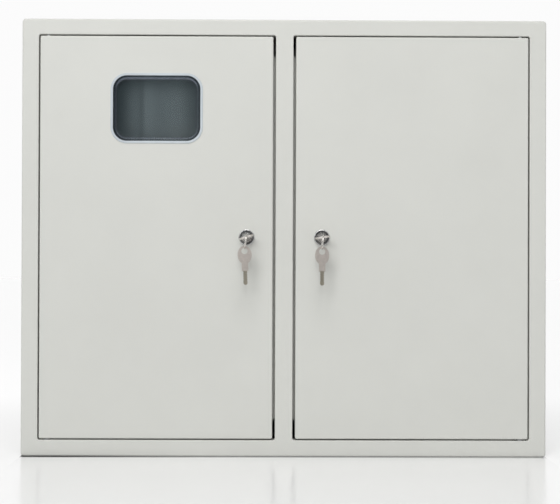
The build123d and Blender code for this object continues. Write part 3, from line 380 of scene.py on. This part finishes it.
def key_metal(name, tone, blade_top):
    """Nickel-plated brass, finely scratched; below blade_top, on a hanging key's blade, it is browner."""
    cloud_scale = 330.0
    scratch_scales = (1400.0, 1400.0, 160.0)
    scratch_height = 0.00003
    rough_low = 0.28
    rough_high = 0.5
    mat, tree, shader = new_material(name)
    socket(shader, "Metallic", 0.9)
    edge = spread(tree, place_parts(tree)["Z"], 0.0, 1.0, (blade_top - BLADE_BLUR, blade_top + BLADE_BLUR))
    cloud = noise(tree, place_coordinates(tree), cloud_scale, detail=4.0, roughness=0.65)
    bow = mottled(tree, cloud, tone, 0.86)
    blade = mottled(tree, cloud, BLADE_TONE, 0.8)
    tree.links.new(mix_colours(tree, edge, blade, bow), shader.inputs["Base Color"])
    scratch = noise(tree, place_coordinates(tree, scratch_scales), roughness=0.7)
    tree.links.new(spread(tree, scratch, rough_low, rough_high), shader.inputs["Roughness"])
    bump(tree, shader, scratch, scratch_height, strength=0.4)
    return mat


def clear_plastic(name):
    """Clear moulded plastic of a bluish cast.

    Over the hole it is tinted dark, a painted shade for the unlit interior, in uneven vertical streaks and
    darkest along its own wall there, with a painted highlight line where the wall steps to the pane,
    brightest at the top. On the lip, over the paint, it is milky.
    """
    streak_scales = (34.0, 34.0, 5.0)
    streak_low = 0.85
    streak_high = 1.15
    gloss_scale = 80.0
    rough_low = 0.012
    rough_high = 0.03
    wave_scale = 22.0
    wave_height = 0.00005
    mat, tree, shader = new_material(name)
    vector = place_coordinates(tree)
    parts = place_parts(tree)
    zone = spread(tree, distance_from_hole(tree, parts), 0.0, 1.0, (-WINDOW_ZONE, WINDOW_ZONE))
    places = [0.5 + where / (2 * WINDOW_ZONE) for where, colour, density in WINDOW_STEPS]
    highlighted_colours = [colour for where, colour, density in WINDOW_STEPS]
    unhighlighted_colours = [WALL_SHADE_COLOUR if colour == STEP_HIGHLIGHT_COLOUR else colour for colour in highlighted_colours]
    densities = [density for where, colour, density in WINDOW_STEPS]
    # Painted highlight on the step: strongest at the top, weaker at the bottom, least at the sides
    above = reckon(tree, "SUBTRACT", parts["Z"], WINDOW_CENTRE[1] - WINDOW_HEIGHT / 2)
    step_highlight = grey_ramp(tree, reckon(tree, "DIVIDE", above, WINDOW_HEIGHT), STEP_HIGHLIGHT_SHARES)
    unhighlighted = ramp(tree, zone, list(zip(places, unhighlighted_colours)))
    highlighted = ramp(tree, zone, list(zip(places, highlighted_colours)))
    tree.links.new(mix_colours(tree, step_highlight, unhighlighted, highlighted), shader.inputs["Base Color"])
    density = grey_ramp(tree, zone, list(zip(places, densities)))
    # Uneven vertical streaks in the painted shade's density
    streak = noise(tree, place_coordinates(tree, streak_scales), detail=1.0, roughness=0.4)
    streaky = reckon(tree, "MULTIPLY", density, spread(tree, streak, streak_low, streak_high))
    tree.links.new(streaky, shader.inputs["Alpha"])
    gloss = noise(tree, vector, gloss_scale)
    tree.links.new(spread(tree, gloss, rough_low, rough_high), shader.inputs["Roughness"])
    bump(tree, shader, noise(tree, vector, wave_scale, detail=1.0), wave_height, strength=0.1)
    socket(shader, "Specular IOR Level", 0.5)
    return mat


def moulded(name, tone, roughness, grain_scale):
    """Moulded plastic or rubber with a fine grain."""
    grain_height = 0.00005
    gloss_change = 0.06
    mat, tree, shader = new_material(name)
    grain = noise(tree, place_coordinates(tree), grain_scale, detail=3.0, roughness=0.6)
    tree.links.new(mottled(tree, grain, tone, 0.85), shader.inputs["Base Color"])
    tree.links.new(spread(tree, grain, roughness - gloss_change, roughness + gloss_change),
                   shader.inputs["Roughness"])
    bump(tree, shader, grain, grain_height, strength=0.5)
    return mat


def dress(mat, *names):
    """Give CAD nodes a material."""
    for name in names:
        data = nodes[name].data
        data.materials.clear()
        data.materials.append(mat)


def mesh_piece(name, points, faces, mat, body, smooth=True):
    """A mesh of the given points and faces, with its material, riding on a body."""
    data = bpy.data.meshes.new(name)
    data.from_pydata(points, [], faces)
    data.update()
    for polygon in data.polygons:
        polygon.use_smooth = smooth
    data.materials.append(mat)
    piece = bpy.data.objects.new(name, data)
    scene.collection.objects.link(piece)
    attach(piece, body)
    return piece


def tube_faces(rings, around):
    """Faces of a tube of rings of points, with capped ends."""
    faces = []
    for ring in range(rings - 1):
        following = ring + 1
        for step in range(around):
            beside = (step + 1) % around
            faces.append((ring * around + step, ring * around + beside,
                          following * around + beside, following * around + step))
    faces.append(tuple(reversed(range(around))))
    faces.append(tuple((rings - 1) * around + step for step in range(around)))
    return faces


def ring_axis(side_name):
    """The axis that a key ring swings about, from its joint."""
    for joint in frame["record"]["behaviour"]["joints"]:
        if joint["name"] == f"{side_name}_ring_swing":
            return Vector(joint["axis"]).normalized()


def split_ring(side_name, mat):
    """A coil of two turns of wire, leaning as it hangs, that takes the place of the plain ring."""
    low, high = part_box(f"{side_name}_key_ring")
    centre = (low + high) / 2
    axis = ring_axis(side_name)
    upward = axis.cross(Vector((0, 1, 0))).normalized()
    wire = RING_WIRE_RADIUS
    radius = (high.y - low.y) / 2 - wire
    pitch = 2 * wire
    points = []
    for step in range(RING_STEPS + 1):
        share = step / RING_STEPS
        angle = 2 * math.pi * RING_TURNS * share + RING_START
        lead = min(max((share - RING_STEP_FROM) / RING_STEP_SHARE, 0.0), 1.0)
        across = -pitch / 2 + pitch * lead
        outward = Vector((0, 1, 0)) * math.sin(angle) + upward * math.cos(angle)
        from_tip = min(share, 1 - share) / RING_TAPER_SHARE
        thin = min(1.0, RING_TIP_THICKNESS + (1 - RING_TIP_THICKNESS) * from_tip)
        for turn in range(RING_AROUND):
            way = 2 * math.pi * turn / RING_AROUND
            offset = outward * math.cos(way) * wire * thin + axis * math.sin(way) * wire * thin
            points.append(centre + outward * radius + axis * across + offset)
    ring = mesh_piece(f"{side_name}_split_ring", points, tube_faces(RING_STEPS + 1, RING_AROUND), mat,
                      f"{side_name}_key_ring")
    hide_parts(f"{side_name}_key_ring")


def thread(name, centre, radius, half_flats, y_from, y_to, pitch, height, mat, body):
    """A screw thread round an axis along Y, cut off at two flats where half_flats is under the radius."""
    rings = int(abs(y_to - y_from) / pitch * THREAD_RINGS_PER_PITCH) + 1
    points = []
    for ring in range(rings):
        y = y_from + (y_to - y_from) * ring / (rings - 1)
        for step in range(THREAD_AROUND):
            angle = 2 * math.pi * step / THREAD_AROUND
            phase = (ring / THREAD_RINGS_PER_PITCH + step / THREAD_AROUND) % 1.0
            rise = height * (1 - abs(2 * phase - 1))
            reach = radius + rise
            x = reach * math.cos(angle)
            x = max(-half_flats, min(half_flats, x))
            points.append((centre[0] + x, y, centre[1] + reach * math.sin(angle)))
    piece = mesh_piece(name, points, tube_faces(rings, THREAD_AROUND), mat, body, smooth=False)


def barrel_thread(side_name, mat):
    """The thread of a lock barrel between its nut and its rear end."""
    barrel_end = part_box(f"{side_name}_lock_body")[1].y
    nut_low, nut_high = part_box(f"{side_name}_lock_nut")
    middle = (nut_low + nut_high) / 2
    thread(f"{side_name}_lock_thread", (middle.x, middle.z), BARREL_RADIUS - THREAD_SINK, BARREL_FLATS / 2,
           nut_high.y + THREAD_END_GAP, barrel_end - THREAD_END_GAP, BARREL_PITCH, BARREL_THREAD_HEIGHT, mat,
           f"{side_name}_door")


def stud_thread(name, body, way, mat):
    """The thread of an earth stud beyond its nut; way is 1 where the stud points to the wall, else -1."""
    stud_low, stud_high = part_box(f"{name}_earth_stud")
    nut_low, nut_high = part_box(f"{name}_earth_nut")
    middle = (stud_low + stud_high) / 2
    radius = (stud_high.x - stud_low.x) / 2
    tip = stud_high.y if way > 0 else stud_low.y
    nut_face = nut_high.y if way > 0 else nut_low.y
    thread(f"{name}_earth_stud_thread", (middle.x, middle.z), radius - THREAD_SINK, radius * 2,
           nut_face + way * THREAD_END_GAP, tip - way * THREAD_END_GAP, STUD_PITCH, STUD_THREAD_HEIGHT, mat,
           body)


def seen_or_mirrored(tree):
    """1 where a background is seen straight, in a gloss or through plastic, 0 for the light it sheds."""
    path = tree.nodes.new("ShaderNodeLightPath")
    seen = reckon(tree, "MAXIMUM", path.outputs["Is Camera Ray"], path.outputs["Is Glossy Ray"])
    return reckon(tree, "MAXIMUM", seen, path.outputs["Is Transmission Ray"])


def floor_material():
    """A pale half-glossy floor, with a soft painted shade near the cabinet's front and a dark painted contact
    shadow right at its foot.

    The dark line at the foot is deepest at the left, as in the photograph.
    """
    mat, tree, shader = new_material("floor")
    parts = place_parts(tree)
    closeness = []
    for reach in (CONTACT_SHADOW_REACH, NEAR_REACH):
        closeness.append(spread(tree, parts["Y"], 0.0, 1.0, (FRONT_Y - reach, FRONT_Y), smooth=True))
    depth = spread(tree, parts["X"], CONTACT_SHADOW_DEPTHS[0], CONTACT_SHADOW_DEPTHS[1], CONTACT_SHADOW_FADE)
    beside = reckon(tree, "GREATER_THAN", reckon(tree, "ABSOLUTE", parts["X"]), shell_high.x)
    behind = reckon(tree, "GREATER_THAN", parts["Y"], shell_high.y)
    clear = reckon(tree, "MAXIMUM", beside, behind)
    # Painted contact shadow at the foot, which dims colour, gloss and glow, and painted soft shade nearer the
    # front
    contact_shadow = reckon(tree, "SUBTRACT", 1.0, reckon(tree, "MULTIPLY", closeness[0], depth))
    contact_shadow = reckon(tree, "MAXIMUM", contact_shadow, clear)
    shade = reckon(tree, "SUBTRACT", 1.0, reckon(tree, "MULTIPLY", closeness[1], NEAR_DEPTH))
    shade = reckon(tree, "MULTIPLY", contact_shadow, reckon(tree, "MAXIMUM", shade, clear))
    tree.links.new(reckon(tree, "MULTIPLY", shade, FLOOR_TONE), shader.inputs["Base Color"])
    tree.links.new(contact_shadow, shader.inputs["Specular IOR Level"])
    socket(shader, "Roughness", FLOOR_ROUGHNESS)
    socket(shader, "Emission Color", WHITE)
    distant = spread(tree, parts["Y"], FLOOR_GLOW[0], FLOOR_GLOW[1], FLOOR_GLOW_FADE)
    glow = reckon(tree, "MULTIPLY", distant, seen_or_mirrored(tree))
    glow = reckon(tree, "MULTIPLY", glow, contact_shadow)
    tree.links.new(glow, shader.inputs["Emission Strength"])
    return mat


def dark_card_material():
    """Almost black, with the soft stripes of light that the window mirrors."""
    mat, tree, shader = new_material("dark_card")
    socket(shader, "Base Color", DARK_CARD_TONE)
    socket(shader, "Emission Color", STRIPE_COLOUR)
    parts = place_parts(tree)
    across_stops = [(0.5 + place / DARK_CARD_SPAN[0], light) for place, light in WINDOW_STRIPES]
    up_stops = [((place - FLOOR_Z) / DARK_CARD_SPAN[1], light) for place, light in STRIPE_HEIGHTS]
    across = grey_ramp(tree, reckon(tree, "ADD", parts["X"], 0.5), across_stops)
    up = grey_ramp(tree, reckon(tree, "ADD", parts["Y"], 0.5), up_stops)
    glow = reckon(tree, "MULTIPLY", reckon(tree, "MULTIPLY", across, up), STRIPE_GLOW)
    tree.links.new(glow, shader.inputs["Emission Strength"])
    return mat


def add_floor():
    """The floor that the cabinet stands on."""
    bpy.ops.mesh.primitive_plane_add(size=FLOOR_SPAN, location=(0, 0, FLOOR_Z))
    floor = bpy.context.object
    floor.name = "floor"
    floor.data.materials.append(floor_material())


def add_sky():
    """A plain white sky, brighter where it is seen or mirrored than in the light that it sheds."""
    world = bpy.data.worlds.new("studio")
    scene.world = world
    world.use_nodes = True
    tree = world.node_tree
    background = tree.nodes["Background"]
    strength = spread(tree, seen_or_mirrored(tree), SKY_STRENGTH, SKY_SEEN)
    tree.links.new(strength, background.inputs["Strength"])
    socket(background, "Color", WHITE)


def add_lamps():
    """Square lamps aimed at the middle of the cabinet's front."""
    for light in LIGHTS:
        lamp = bpy.data.lights.new(light["name"], "AREA")
        lamp.shape = "SQUARE"
        lamp.size = light["size"]
        lamp.energy = light["power"]
        lamp_object = bpy.data.objects.new(light["name"], lamp)
        lamp_object.location = light["place"]
        lamp_object.visible_glossy = light["mirrored"]
        aim = Vector((0, FRONT_Y, 0)) - Vector(light["place"])
        lamp_object.rotation_euler = aim.to_track_quat("-Z", "Y").to_euler()
        scene.collection.objects.link(lamp_object)


def add_dark_card():
    """A card in front of the cabinet that only glosses see."""
    card_middle = (0, DARK_CARD_PLACE, FLOOR_Z + DARK_CARD_SPAN[1] / 2)
    bpy.ops.mesh.primitive_plane_add(size=1.0, location=card_middle, rotation=(math.pi / 2, 0, 0))
    card = bpy.context.object
    card.name = "dark_card"
    card.scale = (DARK_CARD_SPAN[0], DARK_CARD_SPAN[1], 1.0)
    card.data.materials.append(dark_card_material())
    card.visible_camera = False
    card.visible_diffuse = False
    card.visible_shadow = False
    card.visible_transmission = False


def add_camera():
    """A nearly level camera that puts the cabinet's front where the photograph has it."""
    width = shell_high.x - shell_low.x
    height = shell_high.z - shell_low.z
    focal_px = LENS / SENSOR * PICTURE_WIDTH
    metres_per_px = (width / (CABINET_RIGHT_PX - CABINET_LEFT_PX)
                     + height / (CABINET_BOTTOM_PX - CABINET_TOP_PX)) / 2
    distance = focal_px * metres_per_px
    across = (PICTURE_WIDTH - CABINET_LEFT_PX - CABINET_RIGHT_PX) / 2 * metres_per_px
    up = ((CABINET_TOP_PX + CABINET_BOTTOM_PX) - PICTURE_HEIGHT) / 2 * metres_per_px
    data = bpy.data.cameras.new("camera")
    data.sensor_width = SENSOR * 1000
    data.lens = LENS * 1000
    camera = bpy.data.objects.new("camera", data)
    level = Matrix.Rotation(math.pi / 2 + CAMERA_PITCH, 3, "X")
    turned = Matrix.Rotation(CAMERA_YAW, 3, "Z") @ level @ Matrix.Rotation(CAMERA_ROLL, 3, "Z")
    back = turned @ Vector((0, 0, 1))
    camera.location = Vector((across, FRONT_Y, up)) + back * distance
    camera.rotation_euler = turned.to_euler()
    scene.collection.objects.link(camera)
    scene.camera = camera


paint = powder_paint("light_grey_powder_paint", tone=(0.635, 0.640, 0.605))
inner_paint = powder_paint("inner_powder_paint", tone=(0.60, 0.605, 0.575), roughness=0.48)
zinc = plated_steel("zinc_plate", tone=(0.62, 0.635, 0.65), roughness=0.34)
greased_zinc = plated_steel("greased_zinc", tone=(0.22, 0.225, 0.23), roughness=0.5)
lock_metal = chrome("lock_chrome", tone=(0.60, 0.595, 0.58), roughness=0.25)
spare_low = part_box("left_spare_key")[0]
keys_metal = key_metal("key_nickel", tone=(0.58, 0.53, 0.49), blade_top=spare_low.z + BLADE_LENGTH)
# The inserted keys get a lighter tone, a painted highlight, and all of each lies above this height, so none
# of it is browner
highlighted_keys_metal = key_metal("highlighted_key_nickel", tone=(0.74, 0.70, 0.66), blade_top=spare_low.z)
ring_metal = chrome("ring_nickel", tone=(0.66, 0.64, 0.61), roughness=0.19)
plastic = clear_plastic("window_plastic")
rubber = moulded("grommet_rubber", tone=(0.035, 0.035, 0.037), roughness=0.6, grain_scale=900.0)
blue_plastic = moulded("insulator_plastic", tone=(0.03, 0.10, 0.34), roughness=0.45, grain_scale=700.0)
bar_brass = plated_steel("bar_brass", tone=(0.72, 0.50, 0.20), roughness=0.34, spangle=0.1)

dress(paint, "body_shell", "left_door", "right_door")
dress(inner_paint, "back_panel", "partition", "meter_plate", "false_panel")
SLOT_MATERIALS = {
    "zinc_steel": zinc,
    "lock_chrome": lock_metal,
    "key_nickel": keys_metal,
    "bar_brass": bar_brass,
    "clear_plastic": plastic,
    "grommet_rubber": rubber,
    "insulator_plastic": blue_plastic,
}
for row in frame["record"]["subparts"]:
    if row["material_slot"] in SLOT_MATERIALS:
        dress(SLOT_MATERIALS[row["material_slot"]], row["node"])

dress(greased_zinc, "hinge_washers", "lower_hinge_pins")

for side_name in ("left", "right"):
    # The darker face tone is a painted dark reflection
    head_metal = lock_head_chrome(side_name, tone=(0.56, 0.56, 0.555), dark_reflection_tone=(0.33, 0.33, 0.325),
                                  roughness=0.21)
    dress(head_metal, f"{side_name}_lock_body")
    dress(highlighted_keys_metal, f"{side_name}_key")
    split_ring(side_name, ring_metal)
    barrel_thread(side_name, lock_metal)
    stud_thread(f"{side_name}_door", f"{side_name}_door", 1, zinc)
stud_thread("cabinet", "cabinet", -1, zinc)

add_floor()
add_sky()
add_lamps()
add_dark_card()
add_camera()
scene.view_settings.view_transform = "Standard"
